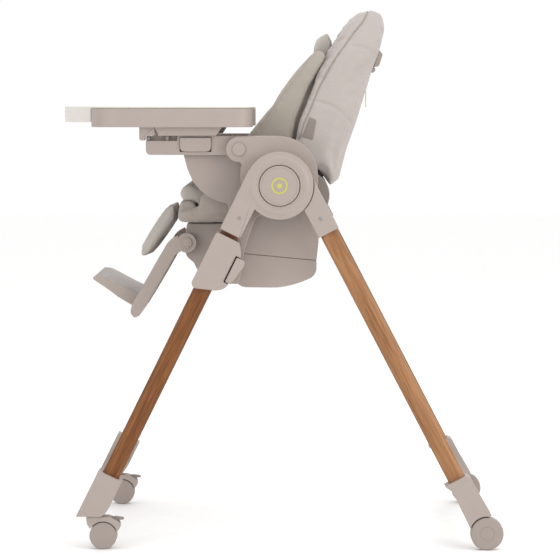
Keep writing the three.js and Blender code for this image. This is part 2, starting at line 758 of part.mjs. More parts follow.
// The footplate plugs into the lowest slot with a tongue at its rear.
function footplate() {
  const shape = outline([
    [-379.5, 525, 4], [-374, 530, 6], [-357, 528, 8], [-340, 518.5], [-304, 499.5], [-287.7, 492],
    [-300.6, 469.5], [-328.6, 486.4], [-350.6, 503], [-378, 521.5, 4],
  ]);
  return join(slab(shape, -118, 118), tongue(SLOTS[0], 8, 6, 6, 60));
}

function calfPad() {
  const shape = outline([
    [-220, 675, 4], [-213.5, 668, 3], [-213.5, 646, 4], [-237, 611], [-264, 574, 6], [-279, 563, 7],
    [-286, 572, 7], [-270, 601], [-247, 638],
  ]);
  return slab(shape, -118, 118);
}

add('legrest_frame', legrestFrame(), PLASTIC);
add('footplate', footplate(), PLASTIC);
add('legrest_axle', crossBar(LEGREST.x, LEGREST.z, 8, -166, 166), STEEL);
add('calf_pad', calfPad(), LINER);

export default chair;
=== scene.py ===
"""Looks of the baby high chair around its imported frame. Metres, +Z up, the chair faces -X."""

import json
import math

import bmesh
import bpy
from mathutils import Matrix, Vector
from mathutils.bvhtree import BVHTree
from mathutils.kdtree import KDTree


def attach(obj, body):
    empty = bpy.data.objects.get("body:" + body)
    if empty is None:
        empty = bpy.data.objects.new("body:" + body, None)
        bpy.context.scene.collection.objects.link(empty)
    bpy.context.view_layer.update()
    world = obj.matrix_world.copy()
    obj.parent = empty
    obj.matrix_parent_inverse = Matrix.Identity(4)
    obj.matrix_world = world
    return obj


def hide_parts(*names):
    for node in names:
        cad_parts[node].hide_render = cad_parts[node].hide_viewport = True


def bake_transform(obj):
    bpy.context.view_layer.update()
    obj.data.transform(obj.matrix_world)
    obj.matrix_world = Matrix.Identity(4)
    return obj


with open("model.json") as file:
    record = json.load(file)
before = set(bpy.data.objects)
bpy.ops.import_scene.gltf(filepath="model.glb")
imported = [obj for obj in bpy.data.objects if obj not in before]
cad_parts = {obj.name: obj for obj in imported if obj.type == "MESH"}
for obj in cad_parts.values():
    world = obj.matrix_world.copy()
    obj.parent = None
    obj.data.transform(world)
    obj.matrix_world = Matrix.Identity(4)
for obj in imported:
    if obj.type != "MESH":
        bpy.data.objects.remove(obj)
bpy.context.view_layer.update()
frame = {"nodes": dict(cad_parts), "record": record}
NODES = frame["nodes"]
SIDES = ((-1, "l"), (1, "r"))
MM = 0.001
HUB = (-0.002, 0, 0.716)               # middle of the round hubs
FRONT_RAKE = math.radians(26.3)        # lean of the two leg pairs
REAR_RAKE = math.radians(27.5)

node_slots = {p["node"]: p["material_slot"] for p in frame["record"]["subparts"]}
body_of = {}
for body, members in frame["record"]["behaviour"]["bodies"].items():
    for member in members:
        body_of[member] = body


def linear(value):
    """An sRGB channel, 0 to 255, as linear light."""
    s = value / 255
    return s / 12.92 if s <= 0.04045 else ((s + 0.055) / 1.055) ** 2.4


def tone(red, green, blue):
    return (linear(red), linear(green), linear(blue), 1.0)


def shade(colour, factor):
    return tuple(min(1.0, c * factor) for c in colour[:3]) + (1.0,)


# ---- Camera and light -----------------------------------------------------------------------
CAMERA_PLACE = (0.0165, -4.685, 0.8686)
CAMERA_TILT = 4.36                     # degrees below the horizon
CAMERA_LENS = 145.93                   # for a sensor 36 mm wide
CAMERA_SHIFT = -0.0161
MIDDLE = (0, 0, 0.6)                   # what the lamps are turned to


def make_camera():
    data = bpy.data.cameras.new("camera")
    data.sensor_width = 36
    data.lens = CAMERA_LENS
    data.shift_x = CAMERA_SHIFT
    data.clip_start = 0.05
    data.clip_end = 60
    camera = bpy.data.objects.new("camera", data)
    camera.location = CAMERA_PLACE
    camera.rotation_euler = (math.radians(90 - CAMERA_TILT), 0, 0)
    bpy.context.scene.collection.objects.link(camera)
    bpy.context.scene.camera = camera


def make_light(name, place, size, power):
    data = bpy.data.lights.new(name, "AREA")
    data.shape = "DISK"
    data.size = size
    data.energy = power
    lamp = bpy.data.objects.new(name, data)
    lamp.location = place
    lamp.rotation_euler = (Vector(MIDDLE) - Vector(place)).to_track_quat("-Z", "Y").to_euler()
    bpy.context.scene.collection.objects.link(lamp)


def make_studio():
    scene = bpy.context.scene
    scene.view_settings.view_transform = "Standard"
    world = bpy.data.worlds.new("studio")
    world.use_nodes = True
    background = world.node_tree.nodes["Background"]
    background.inputs["Color"].default_value = (1.0, 1.0, 1.0, 1)
    background.inputs["Strength"].default_value = 1.02
    scene.world = world
    make_light("top", (0.3, -0.6, 3.4), 2.6, 24)
    make_light("right", (2.8, -2.8, 1.5), 1.8, 38)
    make_light("left", (-2.8, -3.0, 1.1), 1.6, 20)
    make_light("back", (0.8, 3.0, 2.4), 2.0, 20)


make_camera()
make_studio()


# ---- Materials ------------------------------------------------------------------------------
class Recipe:
    """A Principled material with short calls for the nodes in front of it."""

    def __init__(self, name):
        self.material = bpy.data.materials.new(name)
        self.material.use_nodes = True
        self.tree = self.material.node_tree
        self.shader = self.tree.nodes["Principled BSDF"]
        self.place = self.tree.nodes.new("ShaderNodeTexCoord").outputs["Object"]

    def set(self, **values):
        for key, value in values.items():
            label = key.replace("_", " ").title().replace("Ior", "IOR")
            self.shader.inputs[label].default_value = value
        return self

    def node(self, kind, **inputs):
        made = self.tree.nodes.new(kind)
        for key, value in inputs.items():
            socket = made.inputs[key]
            if isinstance(value, bpy.types.NodeSocket):
                self.tree.links.new(value, socket)
            else:
                socket.default_value = value
        return made

    def turned(self, rotation=(0, 0, 0), scale=(1, 1, 1)):
        made = self.node("ShaderNodeMapping", Vector=self.place, Rotation=rotation)
        return self.node("ShaderNodeMapping", Vector=made.outputs[0], Scale=scale).outputs[0]

    def noise(self, scale, detail=2.0, roughness=0.5, place=None, distortion=0.0):
        made = self.node(
            "ShaderNodeTexNoise", Vector=place or self.place, Scale=scale, Detail=detail,
            Roughness=roughness, Distortion=distortion,
        )
        return made.outputs["Fac"]

    def wave(self, scale, axis, distortion=0.0, place=None):
        made = self.node(
            "ShaderNodeTexWave", Vector=place or self.place, Scale=scale, Distortion=distortion,
        )
        made.bands_direction = axis
        return made.outputs["Fac"]

    def ramp(self, source, stops):
        made = self.node("ShaderNodeValToRGB", Fac=source)
        elements = made.color_ramp.elements
        while len(elements) < len(stops):
            elements.new(0.5)
        for element, (position, colour) in zip(elements, stops):
            element.position = position
            element.color = colour
        return made.outputs["Color"]

    def span(self, source, low, high, start=0.0, stop=1.0):
        made = self.node("ShaderNodeMapRange", Value=source)
        made.inputs["From Min"].default_value = start
        made.inputs["From Max"].default_value = stop
        made.inputs["To Min"].default_value = low
        made.inputs["To Max"].default_value = high
        return made.outputs[0]

    def mix(self, a, b, factor, mode="MIX"):
        made = self.tree.nodes.new("ShaderNodeMix")
        made.data_type = "RGBA"
        made.blend_type = mode
        for index, value in ((0, factor), (6, a), (7, b)):
            if isinstance(value, bpy.types.NodeSocket):
                self.tree.links.new(value, made.inputs[index])
            else:
                made.inputs[index].default_value = value
        return made.outputs[2]

    def maths(self, operation, a, b):
        made = self.tree.nodes.new("ShaderNodeMath")
        made.operation = operation
        for socket, value in zip(made.inputs, (a, b)):
            if isinstance(value, bpy.types.NodeSocket):
                self.tree.links.new(value, socket)
            else:
                socket.default_value = value
        return made.outputs[0]

    def colour(self, source):
        self.tree.links.new(source, self.shader.inputs["Base Color"])

    def roughness(self, source):
        self.tree.links.new(source, self.shader.inputs["Roughness"])

    def bump(self, height, strength, distance):
        made = self.node("ShaderNodeBump", Height=height, Strength=strength, Distance=distance)
        previous = self.shader.inputs["Normal"].links
        if previous:
            self.tree.links.new(previous[0].from_socket, made.inputs["Normal"])
        self.tree.links.new(made.outputs[0], self.shader.inputs["Normal"])


def moulded(name, colour, rough=0.46, coat=0.0, spark=1.0):
    """Injection-moulded plastic: fine spark texture, faint flow marks, slightly uneven gloss."""
    recipe = Recipe(name)
    flow = recipe.noise(22, detail=3)
    speck = recipe.noise(1500, detail=1)
    tinted = recipe.ramp(flow, [(0.3, shade(colour, 0.965)), (0.7, shade(colour, 1.03))])
    specked = recipe.ramp(
        speck, [(0.35, shade(colour, 1 - 0.07 * spark)), (0.65, shade(colour, 1 + 0.05 * spark))],
    )
    recipe.colour(recipe.mix(tinted, specked, 0.35))
    recipe.roughness(recipe.span(recipe.noise(90, detail=2), rough - 0.06, rough + 0.07, 0.3, 0.7))
    recipe.bump(recipe.noise(1300, detail=2), 0.22 * spark, 0.00012)
    recipe.bump(recipe.noise(14, detail=1), 0.1, 0.0009)
    recipe.set(coat_weight=coat, coat_roughness=0.25)
    return recipe.material


def timber(name, dark, middle, light, rake):
    """Lacquered walnut-toned grain that runs along a leg leaning by rake."""
    recipe = Recipe(name)
    broad = recipe.turned((0, -rake, 0), (1, 1, 0.045))
    fine = recipe.turned((0, -rake, 0), (1, 1, 0.035))
    figure = recipe.noise(95, detail=5, roughness=0.6, place=broad, distortion=0.5)
    pores = recipe.noise(520, detail=3, roughness=0.65, place=fine)
    bands = recipe.noise(30, detail=2, place=broad)
    base = recipe.ramp(figure, [(0.3, dark), (0.5, middle), (0.72, light)])
    banded = recipe.mix(base, recipe.ramp(bands, [(0.35, shade(middle, 0.8)), (0.7, light)]), 0.3)
    streak = recipe.ramp(pores, [(0.36, shade(middle, 1.5)), (0.5, (1, 1, 1, 1))])
    recipe.colour(recipe.mix(banded, streak, 0.5, "MULTIPLY"))
    recipe.roughness(recipe.span(pores, 0.5, 0.36, 0.3, 0.7))
    recipe.bump(pores, 0.25, 0.00025)
    recipe.set(coat_weight=0.05, coat_roughness=0.3, specular_ior_level=0.25)
    return recipe.material


WAVE_PERIOD = 0.314                    # metres, for a wave texture of scale 1


def woven(name, colour, thread=0.0011, melange=0.1, relief=0.32, sheen=0.2, crumple=0.5):
    """Plain-weave cloth; its threads run along all three axes, so every face shows two of them."""
    recipe = Recipe(name)
    scale = WAVE_PERIOD / thread
    threads = recipe.maths(
        "ADD",
        recipe.maths("ADD", recipe.wave(scale, "X", 0.6), recipe.wave(scale, "Y", 0.6)),
        recipe.wave(scale, "Z", 0.6),
    )
    yarn = recipe.noise(700, detail=3, roughness=0.7)
    cloud = recipe.noise(9, detail=3)
    spun = recipe.ramp(
        yarn, [(0.32, shade(colour, 1 - 1.6 * melange)), (0.68, shade(colour, 1 + melange))],
    )
    faded = recipe.ramp(cloud, [(0.3, shade(colour, 0.95)), (0.7, shade(colour, 1.04))])
    mixed = recipe.mix(spun, faded, 0.5)
    # The colour is darkened in the valleys between the threads: painted shade.
    valley_shade = recipe.span(threads, 0.93, 1.0, 0.6, 2.2)
    grey = recipe.node("ShaderNodeCombineColor", Red=valley_shade, Green=valley_shade, Blue=valley_shade).outputs[0]
    recipe.colour(recipe.mix(mixed, grey, 0.6, "MULTIPLY"))
    recipe.roughness(recipe.span(yarn, 0.82, 0.96, 0.3, 0.7))
    recipe.bump(threads, relief, 0.0004)
    recipe.bump(recipe.noise(30, detail=3, roughness=0.55), crumple, 0.004)
    recipe.set(sheen_weight=sheen, sheen_roughness=0.45)
    return recipe.material


def metal(name, colour, rough):
    recipe = Recipe(name)
    brushed = recipe.noise(60, detail=3, place=recipe.turned(scale=(1, 40, 1)))
    recipe.colour(recipe.ramp(brushed, [(0.3, shade(colour, 0.9)), (0.7, colour)]))
    recipe.roughness(recipe.span(brushed, rough - 0.05, rough + 0.08, 0.3, 0.7))
    recipe.set(metallic=1.0)
    return recipe.material


MATERIALS = {
    "body_plastic": moulded("body_plastic", tone(158, 146, 139)),
    "shade_plastic": moulded("shade_plastic", tone(134, 124, 117), 0.5),
    "tray_plastic": moulded("tray_plastic", tone(204, 198, 193), 0.34, 0.1, spark=0.25),
    # The front and rear legs are one wood: the front pair's darker tones are painted shade and the
    # rear pair's lighter tones are painted light.
    "front_wood": timber(
        "front_wood", tone(82, 46, 20), tone(114, 68, 32), tone(140, 90, 46), FRONT_RAKE,
    ),
    "rear_wood": timber(
        "rear_wood", tone(114, 75, 45), tone(149, 105, 68), tone(172, 128, 90), -REAR_RAKE,
    ),
    "steel": metal("steel", tone(156, 154, 152), 0.34),
    "backrest_fabric": woven("backrest_fabric", tone(172, 163, 158), melange=0.07, relief=0.2),
    "seat_fabric": woven("seat_fabric", tone(160, 150, 142)),
    "liner_fabric": woven("liner_fabric", tone(160, 152, 142), thread=0.0013, melange=0.09),
    "webbing": woven(
        "webbing", tone(150, 141, 133), thread=0.0018, relief=0.6, sheen=0.1, crumple=0.1,
    ),
}
WHEEL_PLASTIC = moulded("wheel_plastic", tone(148, 137, 130), 0.5)
PIPING = woven("piping", tone(150, 141, 135), thread=0.0009, crumple=0.1)
LIGHT_CLOTH = woven("light_cloth", tone(178, 171, 163), thread=0.0012, crumple=0.3)
PATCH_CLOTH = woven("patch_cloth", tone(136, 126, 118), thread=0.0012, crumple=0.2)
MARK_GREEN = moulded("mark_green", tone(180, 178, 88), 0.4)
FLOOR = moulded("floor", tone(253, 253, 252), 0.7)
CORD_CLOTH = woven("cord_cloth", tone(214, 208, 176), thread=0.0008, crumple=0.0)

for node, holder in NODES.items():
    holder.data.materials.clear()
    holder.data.materials.append(MATERIALS[node_slots[node]])


# ---- Mesh helpers ---------------------------------------------------------------------------
def new_piece(name, mesh, material, body, slot, replaces=()):
    piece = bpy.data.objects.new(name, mesh)
    bpy.context.scene.collection.objects.link(piece)
    mesh.materials.clear()
    mesh.materials.append(material or MATERIALS[slot])
    if body:
        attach(piece, body)
    if replaces:
        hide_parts(*replaces)
    return piece


def mesh_from(name, verts, faces, smooth=True):
    mesh = bpy.data.meshes.new(name)
    mesh.from_pydata([tuple(v) for v in verts], [], faces)
    bm = bmesh.new()
    bm.from_mesh(mesh)
    bmesh.ops.remove_doubles(bm, verts=bm.verts, dist=1e-6)
    bmesh.ops.recalc_face_normals(bm, faces=bm.faces)
    for face in bm.faces:
        face.smooth = smooth
    bm.to_mesh(mesh)
    bm.free()
    return mesh


def finished_mesh(piece, name):
    """The piece's mesh with its modifiers applied."""
    depsgraph = bpy.context.evaluated_depsgraph_get()
    mesh = bpy.data.meshes.new_from_object(piece.evaluated_get(depsgraph))
    mesh.name = name
    return mesh


def revolve(name, profile, centre, steps=96, axis="Y"):
    """A closed body of revolution from (radius, distance along the axis) points in millimetres."""
    verts = []
    faces = []
    count = len(profile)
    for i in range(steps):
        angle = 2 * math.pi * i / steps
        for radius, along in profile:
            a = radius * MM * math.cos(angle)
            b = radius * MM * math.sin(angle)
            spot = (a, along * MM, b) if axis == "Y" else (a, b, along * MM)
            verts.append(Vector(centre) + Vector(spot))
    for i in range(steps):
        j = (i + 1) % steps
        for k in range(count - 1):
            faces.append((i * count + k, j * count + k, j * count + k + 1, i * count + k + 1))
    return mesh_from(name, verts, faces)


def quads(rows, count):
    """Faces that join each closed row of vertices to the next one."""
    faces = []
    for r in range(rows - 1):
        for k in range(count):
            j = (k + 1) % count
            faces.append((r * count + k, r * count + j, (r + 1) * count + j, (r + 1) * count + k))
    return faces


def rounded(points, radius, steps=4):
    """A polyline with its inner corners turned into arcs."""
    result = [Vector(points[0])]
    for i in range(1, len(points) - 1):
        here = Vector(points[i])
        before = Vector(points[i - 1]) - here
        after = Vector(points[i + 1]) - here
        reach = min(radius, before.length * 0.5, after.length * 0.5)
        if reach <= 0:
            result.append(here)
            continue
        start = here + before.normalized() * reach
        stop = here + after.normalized() * reach
        for k in range(steps + 1):
            t = k / steps
            result.append(start * (1 - t) ** 2 + here * 2 * t * (1 - t) + stop * t * t)
    result.append(Vector(points[-1]))
    return result


def spline(points, steps=8):
    """A smooth line through the points (Catmull-Rom)."""
    pts = [Vector(p) for p in points]
    ends = [pts[0] * 2 - pts[1]] + pts + [pts[-1] * 2 - pts[-2]]
    result = []
    for i in range(1, len(ends) - 2):
        a, b, c, d = ends[i - 1:i + 3]
        for k in range(steps):
            t = k / steps
            result.append(0.5 * (
                b * 2 + (c - a) * t + (a * 2 - b * 5 + c * 4 - d) * t ** 2
                + (b * 3 - a - c * 3 + d) * t ** 3
            ))
    result.append(pts[-1])
    return result


def tube(name, path, radius, sides=10, flat=None, up=None):
    """A closed tube along a path; flat makes it a rounded strip of that width, 2 x radius thick."""
    path = [Vector(p) for p in path]
    verts = []
    normal = None
    for i, spot in enumerate(path):
        ahead = path[min(i + 1, len(path) - 1)] - path[max(i - 1, 0)]
        ahead.normalize()
        if up:
            normal = Vector(up)
        elif normal is None:
            normal = ahead.orthogonal()
        normal = (normal - ahead * normal.dot(ahead)).normalized()
        side = ahead.cross(normal)
        for k in range(sides):
            angle = 2 * math.pi * k / sides
            across = math.cos(angle)
            out = math.sin(angle)
            if flat:
                wide = math.copysign(abs(across) ** 0.35, across) * flat / 2
                over = math.copysign(abs(out) ** 0.8, out) * radius
            else:
                wide = across * radius
                over = out * radius
            verts.append(spot + side * wide + normal * over)
    faces = quads(len(path), sides)
    faces.append(tuple(range(sides)))
    faces.append(tuple((len(path) - 1) * sides + k for k in reversed(range(sides))))
    return mesh_from(name, verts, faces)


FLAT_ANGLE = math.radians(1.2)         # facets that meet at less than this become one face
SHARP_ANGLE = math.radians(32)         # edges sharper than this are rounded


def fine_copy(node, width, material=None, clamp=False, reshape=None):
    """A CAD node's own shape with its sharp edges rounded, as a new piece that stands for it."""
    mesh = NODES[node].data.copy()
    mesh.name = node + "_fine"
    if reshape:
        for vertex in mesh.vertices:
            vertex.co = reshape(vertex.co)
    bm = bmesh.new()
    bm.from_mesh(mesh)
    bmesh.ops.remove_doubles(bm, verts=bm.verts, dist=2e-6)
    bmesh.ops.dissolve_limit(bm, angle_limit=FLAT_ANGLE, verts=bm.verts, edges=bm.edges)
    for face in bm.faces:
        face.smooth = True
    bm.to_mesh(mesh)
    bm.free()
    piece = new_piece(node + "_fine", mesh, material, body_of[node], node_slots[node], (node,))
    bevel = piece.modifiers.new("Bevel", "BEVEL")
    bevel.width = width * MM
    bevel.segments = 3
    bevel.limit_method = "ANGLE"
    bevel.angle_limit = SHARP_ANGLE
    bevel.use_clamp_overlap = clamp
    bevel.miter_outer = "MITER_ARC"
    shading = piece.modifiers.new("Normals", "WEIGHTED_NORMAL")
    shading.keep_sharp = False
    return piece


# ---- Soft pieces ----------------------------------------------------------------------------
def soften(name, node, voxel, shrink, cap, pressure, smooth):
    """A stuffed copy of a soft CAD solid: remeshed, rounded, then inflated as cloth."""
    mesh = NODES[node].data.copy()
    piece = bpy.data.objects.new(name, mesh)
    bpy.context.scene.collection.objects.link(piece)
    remesh = piece.modifiers.new("Remesh", "REMESH")
    remesh.mode = "VOXEL"
    remesh.voxel_size = voxel
    piece.data = finished_mesh(piece, name)
    piece.modifiers.clear()
    bm = bmesh.new()
    bm.from_mesh(piece.data)
    for _ in range(smooth):
        bmesh.ops.smooth_vert(
            bm, verts=bm.verts, factor=0.5, use_axis_x=True, use_axis_y=True, use_axis_z=True,
        )
    bm.normal_update()
    for vertex in bm.verts:
        vertex.co -= vertex.normal * shrink
    for face in bm.faces:
        face.smooth = True
    bm.to_mesh(piece.data)
    bm.free()
    inflate(piece, cap, pressure)
    return piece


CLOTH_STEPS = 20


def inflate(piece, cap, pressure):
    """Blows the piece up as cloth; no vertex moves further than the cap."""
    mesh = piece.data
    start = [v.co.copy() for v in mesh.vertices]
    cloth = piece.modifiers.new("Cloth", "CLOTH")
    settings = cloth.settings
    settings.quality = 4
    settings.use_pressure = True
    settings.uniform_pressure_force = pressure
    settings.effector_weights.gravity = 0
    settings.tension_stiffness = 12
    settings.compression_stiffness = 12
    settings.bending_stiffness = 0.6
    cloth.collision_settings.use_collision = False
    scene = bpy.context.scene
    for step in range(1, CLOTH_STEPS + 1):
        scene.frame_set(step)
    depsgraph = bpy.context.evaluated_depsgraph_get()
    moved = [v.co.copy() for v in piece.evaluated_get(depsgraph).data.vertices]
    piece.modifiers.clear()
    for vertex, before, after in zip(mesh.vertices, start, moved):
        step = after - before
        if step.length > cap:
            step *= cap / step.length
        vertex.co = before + step
    scene.frame_set(1)


def subdivide(piece):
    """One smooth subdivision, applied."""
    finer = piece.modifiers.new("Subdivision", "SUBSURF")
    finer.levels = 1
    finer.render_levels = 1
    piece.data = finished_mesh(piece, piece.name)
    piece.modifiers.clear()
    for polygon in piece.data.polygons:
        polygon.use_smooth = True


def finish_soft(piece, body, slot, replaces, material=None):
    """Gives a soft piece its material, its body and the CAD node that it stands for."""
    piece.data.materials.clear()
    piece.data.materials.append(material or MATERIALS[slot])
    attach(piece, body)
    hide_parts(*replaces)


def dense(path, gap=0.001):
    """The path with points added, so that they are no further apart than the gap."""
    result = []
    for a, b in zip(path, path[1:]):
        a, b = Vector(a), Vector(b)
        count = max(1, int((b - a).length / gap))
        result.extend(a.lerp(b, k / count) for k in range(count))
    result.append(Vector(path[-1]))
    return result


def groove(piece, paths, depth, width):
    """Presses sewn lines into the surface along the paths."""
    spots = [p for path in paths for p in dense(path)]
    tree = KDTree(len(spots))
    for i, spot in enumerate(spots):
        tree.insert(spot, i)
    tree.balance()
    for vertex in piece.data.vertices:
        distance = tree.find(vertex.co)[2]
        if distance < 3 * width:
            vertex.co -= vertex.normal * depth * math.exp(-((distance / width) ** 2))


def surface_tree(piece):
    return BVHTree.FromObject(piece, bpy.context.evaluated_depsgraph_get())


OUTSIDE = 0.4                          # a distance from the middle that is clear of the chair


def side_path(tree, points, side, lift=0.0):
    """Side-view points (x, z in millimetres) dropped onto the piece's left or right face."""
    result = []
    for x, z in points:
        origin = Vector((x * MM, side * OUTSIDE, z * MM))
        hit = tree.ray_cast(origin, Vector((0, -side, 0)))[0]
        if hit:
            result.append(hit + Vector((0, side * lift, 0)))
    return result


def height_line(points, z):
    """x on a side-view line at a height, in metres."""
    pts = [(x * MM, h * MM) for x, h in points]
    if z <= pts[0][1]:
        return pts[0][0]
    for (x0, z0), (x1, z1) in zip(pts, pts[1:]):
        if z <= z1:
            return x0 + (x1 - x0) * (z - z0) / (z1 - z0)
    return pts[-1][0]


HEAD_MIDDLE = 0.92                     # the rays over the head fan out from this height
HEAD_RISE = 0.14                       # from there to the top of the head
SIDE_STEPS = 12
HEAD_STEPS = 36
TRIES = 8


def over_head(tree, line, base, lift=0.0):
    """A line up one side of the backrest, over its head and down the other side."""
    result = []
    for k in range(SIDE_STEPS):
        z = base + (HEAD_MIDDLE - base) * k / SIDE_STEPS
        start = Vector((height_line(line, z), -OUTSIDE, z))
        hit = tree.ray_cast(start, Vector((0, 1, 0)))[0]
        if hit:
            result.append(hit + Vector((0, -lift, 0)))
    for k in range(HEAD_STEPS + 1):
        angle = math.pi * k / HEAD_STEPS
        out = Vector((0, -math.cos(angle), math.sin(angle)))
        z = HEAD_MIDDLE + HEAD_RISE * math.sin(angle)
        found = None
        for _ in range(TRIES):
            start = Vector((height_line(line, z), 0, HEAD_MIDDLE)) + out * 0.5
            hit = tree.ray_cast(start, -out, 0.5)[0]
            if hit is None:
                break
            found = hit
            z = hit.z
        if found is not None:
            result.append(found + out * lift)
    result.extend(Vector((p.x, -p.y, p.z)) for p in reversed(result[:SIDE_STEPS]))
    return result


# Backrest cover
PIPING_LINE = [
    (37, 806), (46, 835), (64, 877), (75, 904.5), (88.5, 930.5), (100.5, 951.5), (116, 976),
    (125, 987), (137, 1004.5), (150.5, 1022), (166, 1040), (176, 1062),
]
PIPING_FOOT = 0.806
CROWN_FROM, CROWN_SPAN, CROWN_RISE = 0.92, 0.13, 0.007     # the cover's head is drawn up
cover = soften(
    "backrest_shell_cover", "backrest_cover", 0.006, 0.001, 0.007, pressure=3.0, smooth=5,
)
subdivide(cover)
for vertex in cover.data.vertices:
    vertex.co.z += CROWN_RISE * max(0.0, (vertex.co.z - CROWN_FROM) / CROWN_SPAN)
tree = surface_tree(cover)
seams = [over_head(tree, PIPING_LINE, PIPING_FOOT)]
CROSS_SEAMS = (
    [
        (62, 880), (70, 879.5), (79, 877.5), (92, 874), (104, 869.5), (116, 862), (126, 854),
        (140, 838),
    ],
    [(112, 999), (120, 1003), (131, 1005), (141, 1005)],
    [(146, 990), (158, 988.5), (170, 985), (180, 979), (190, 968)],
)
for side, end in SIDES:
    seams.extend(side_path(tree, line, side) for line in CROSS_SEAMS)
groove(cover, seams, 0.0022, 0.0035)
finish_soft(cover, "backrest", "backrest_fabric", ("backrest_cover",))
tree = surface_tree(cover)
piping_path = over_head(tree, PIPING_LINE, PIPING_FOOT, 0.0002)
new_piece(
    "backrest_piping", tube("backrest_piping", piping_path, 0.0016, 8),
    PIPING, "backrest", "backrest_fabric",
)

# Patch on both sides of the backrest, where a strap comes through
PATCH = [Vector(p) for p in ((57, 850), (71.5, 843), (64, 802), (42, 809))]
PATCH_RINGS = ((1.0, -0.001), (0.97, 0.0006), (0.9, 0.0010), (0.5, 0.0008), (0.02, 0.0007))
PATCH_DEPTH = 0.004
for side, end in SIDES:
    corners = []
    for i in range(4):
        a, b, c = PATCH[i - 1], PATCH[i], PATCH[(i + 1) % 4]
        corners.extend(rounded([a.lerp(b, 0.5), b, c.lerp(b, 0.5)], 4, 4)[1:-1])
    middle = sum(corners, Vector((0, 0))) / len(corners)
    verts = []
    for scale, lift in PATCH_RINGS:
        spots = [middle + (p - middle) * scale for p in corners]
        verts.extend(side_path(tree, spots, side, lift))
    count = len(corners)
    faces = quads(len(PATCH_RINGS), count)
    faces.append(tuple((len(PATCH_RINGS) - 1) * count + k for k in range(count)))
    base = [v - Vector((0, side * PATCH_DEPTH, 0)) for v in verts[:count]]
    offset = len(verts)
    verts.extend(base)
    for k in range(count):
        j = (k + 1) % count
        faces.append((k, j, offset + j, offset + k))
    faces.append(tuple(offset + k for k in range(count)))
    new_piece(
        f"strap_patch_{end}", mesh_from("strap_patch", verts, faces),
        PATCH_CLOTH, "backrest", "backrest_fabric",
    )

# Lining
WING_FROM, WING_SPAN, WING_SHIFT = 0.90, 0.06, 0.005       # the lining's top is moved back
lining = soften("seat_lining", "liner", 0.005, -0.001, 0.006, pressure=3.0, smooth=4)
subdivide(lining)
for vertex in lining.data.vertices:
    vertex.co.x += WING_SHIFT * min(1.0, max(0.0, (vertex.co.z - WING_FROM) / WING_SPAN))
tree = surface_tree(lining)
WING_SEAM = spline([(-76, 782), (-52, 816), (-14, 866), (26, 922), (56, 966)], 5)
seams = [side_path(tree, WING_SEAM, side) for side, end in SIDES]
groove(lining, seams, 0.002, 0.003)
finish_soft(lining, "backrest", "liner_fabric", ("liner",))

# Head pillow
pillow = soften("head_cushion", "head_pillow", 0.004, 0.0005, 0.006, pressure=3.0, smooth=3)
subdivide(pillow)
finish_soft(pillow, "backrest", "liner_fabric", ("head_pillow",), LIGHT_CLOTH)

# Seat cover and cushion
seat_cover = soften("seat_lining_cover", "seat_cover", 0.005, 0.001, 0.003, pressure=2.0, smooth=4)
subdivide(seat_cover)
tree = surface_tree(seat_cover)
SEAT_SEAMS = ([(-206, 657), (-174, 657)], [(-173, 643), (-172, 700)])
seams = [side_path(tree, line, side) for side, end in SIDES for line in SEAT_SEAMS]
groove(seat_cover, seams, 0.0018, 0.0025)
finish_soft(seat_cover, "seat", "seat_fabric", ("seat_cover",))

cushion = soften("seat_pad", "seat_cushion", 0.005, 0.003, 0.007, pressure=4.0, smooth=5)
subdivide(cushion)
tree = surface_tree(cushion)


ABOVE = 1.2                            # a height that is clear of the chair


def drop(tree, points):
    """Points (x, y) in millimetres dropped from above onto a piece."""
    result = []
    for x, y in points:
        hit = tree.ray_cast(Vector((x * MM, y * MM, ABOVE)), Vector((0, 0, -1)))[0]
        if hit:
            result.append(hit)
    return result


channels = [drop(tree, [(x, y) for y in range(-150, 151, 6)]) for x in (-172, -132, -92, -52)]
channels.extend(drop(tree, [(x, y) for x in range(-190, -26, 6)]) for y in (-112, 112))
groove(cushion, channels, 0.003, 0.0045)
finish_soft(cushion, "seat", "liner_fabric", ("seat_cushion",), LIGHT_CLOTH)

# Calf pad
calf = soften("calf_flap", "calf_pad", 0.004, 0.002, 0.006, pressure=3.0, smooth=5)
subdivide(calf)
finish_soft(calf, "calf_pad", "liner_fabric", ("calf_pad",), LIGHT_CLOTH)


# ---- Legs -----------------------------------------------------------------------------------
def leg_space(rake):
    """The frame of a leg pair: its origin in the hub, its legs pointing straight down."""
    return Matrix.Translation(HUB) @ Matrix.Rotation(rake, 4, "Y")


LEG_TOP = -78                          # millimetres along a leg, measured from the hub
LEG_HALF_DEPTH = 17.45
LEG_HALF_WIDTH = 11.95
LEG_POWER = 0.62                       # 1 is an ellipse, 0 a rectangle


def leg_mesh(name, x, y, bottom, rake):
    """An oval bar with softly rounded corners along a leg."""
    sides = 40
    rows = 13
    space = leg_space(rake)
    verts = []
    for row in range(rows):
        z = (LEG_TOP + (bottom - LEG_TOP) * row / (rows - 1)) * MM
        for k in range(sides):
            angle = 2 * math.pi * (k + 0.5) / sides
            a, b = math.cos(angle), math.sin(angle)
            dx = math.copysign(abs(a) ** LEG_POWER, a) * LEG_HALF_DEPTH * MM
            dy = math.copysign(abs(b) ** LEG_POWER, b) * LEG_HALF_WIDTH * MM
            verts.append(space @ Vector((x * MM + dx, y * MM + dy, z)))
    faces = quads(rows, sides)
    faces.append(tuple(range(sides)))
    faces.append(tuple((rows - 1) * sides + k for k in reversed(range(sides))))
    return mesh_from(name, verts, faces)


for side, end in SIDES:
    for which, x, y, bottom, rake, body in (
        ("front", -45, 256, -715, FRONT_RAKE, "front_frame"),
        ("rear", 42.5, 258, -722, -REAR_RAKE, "rear_frame"),
    ):
        name = f"{which}_leg_{end}_wood"
        mesh = leg_mesh(name, x, side * y, bottom, rake)
        new_piece(name, mesh, None, body, f"{which}_wood", (f"{which}_leg_{end}",))


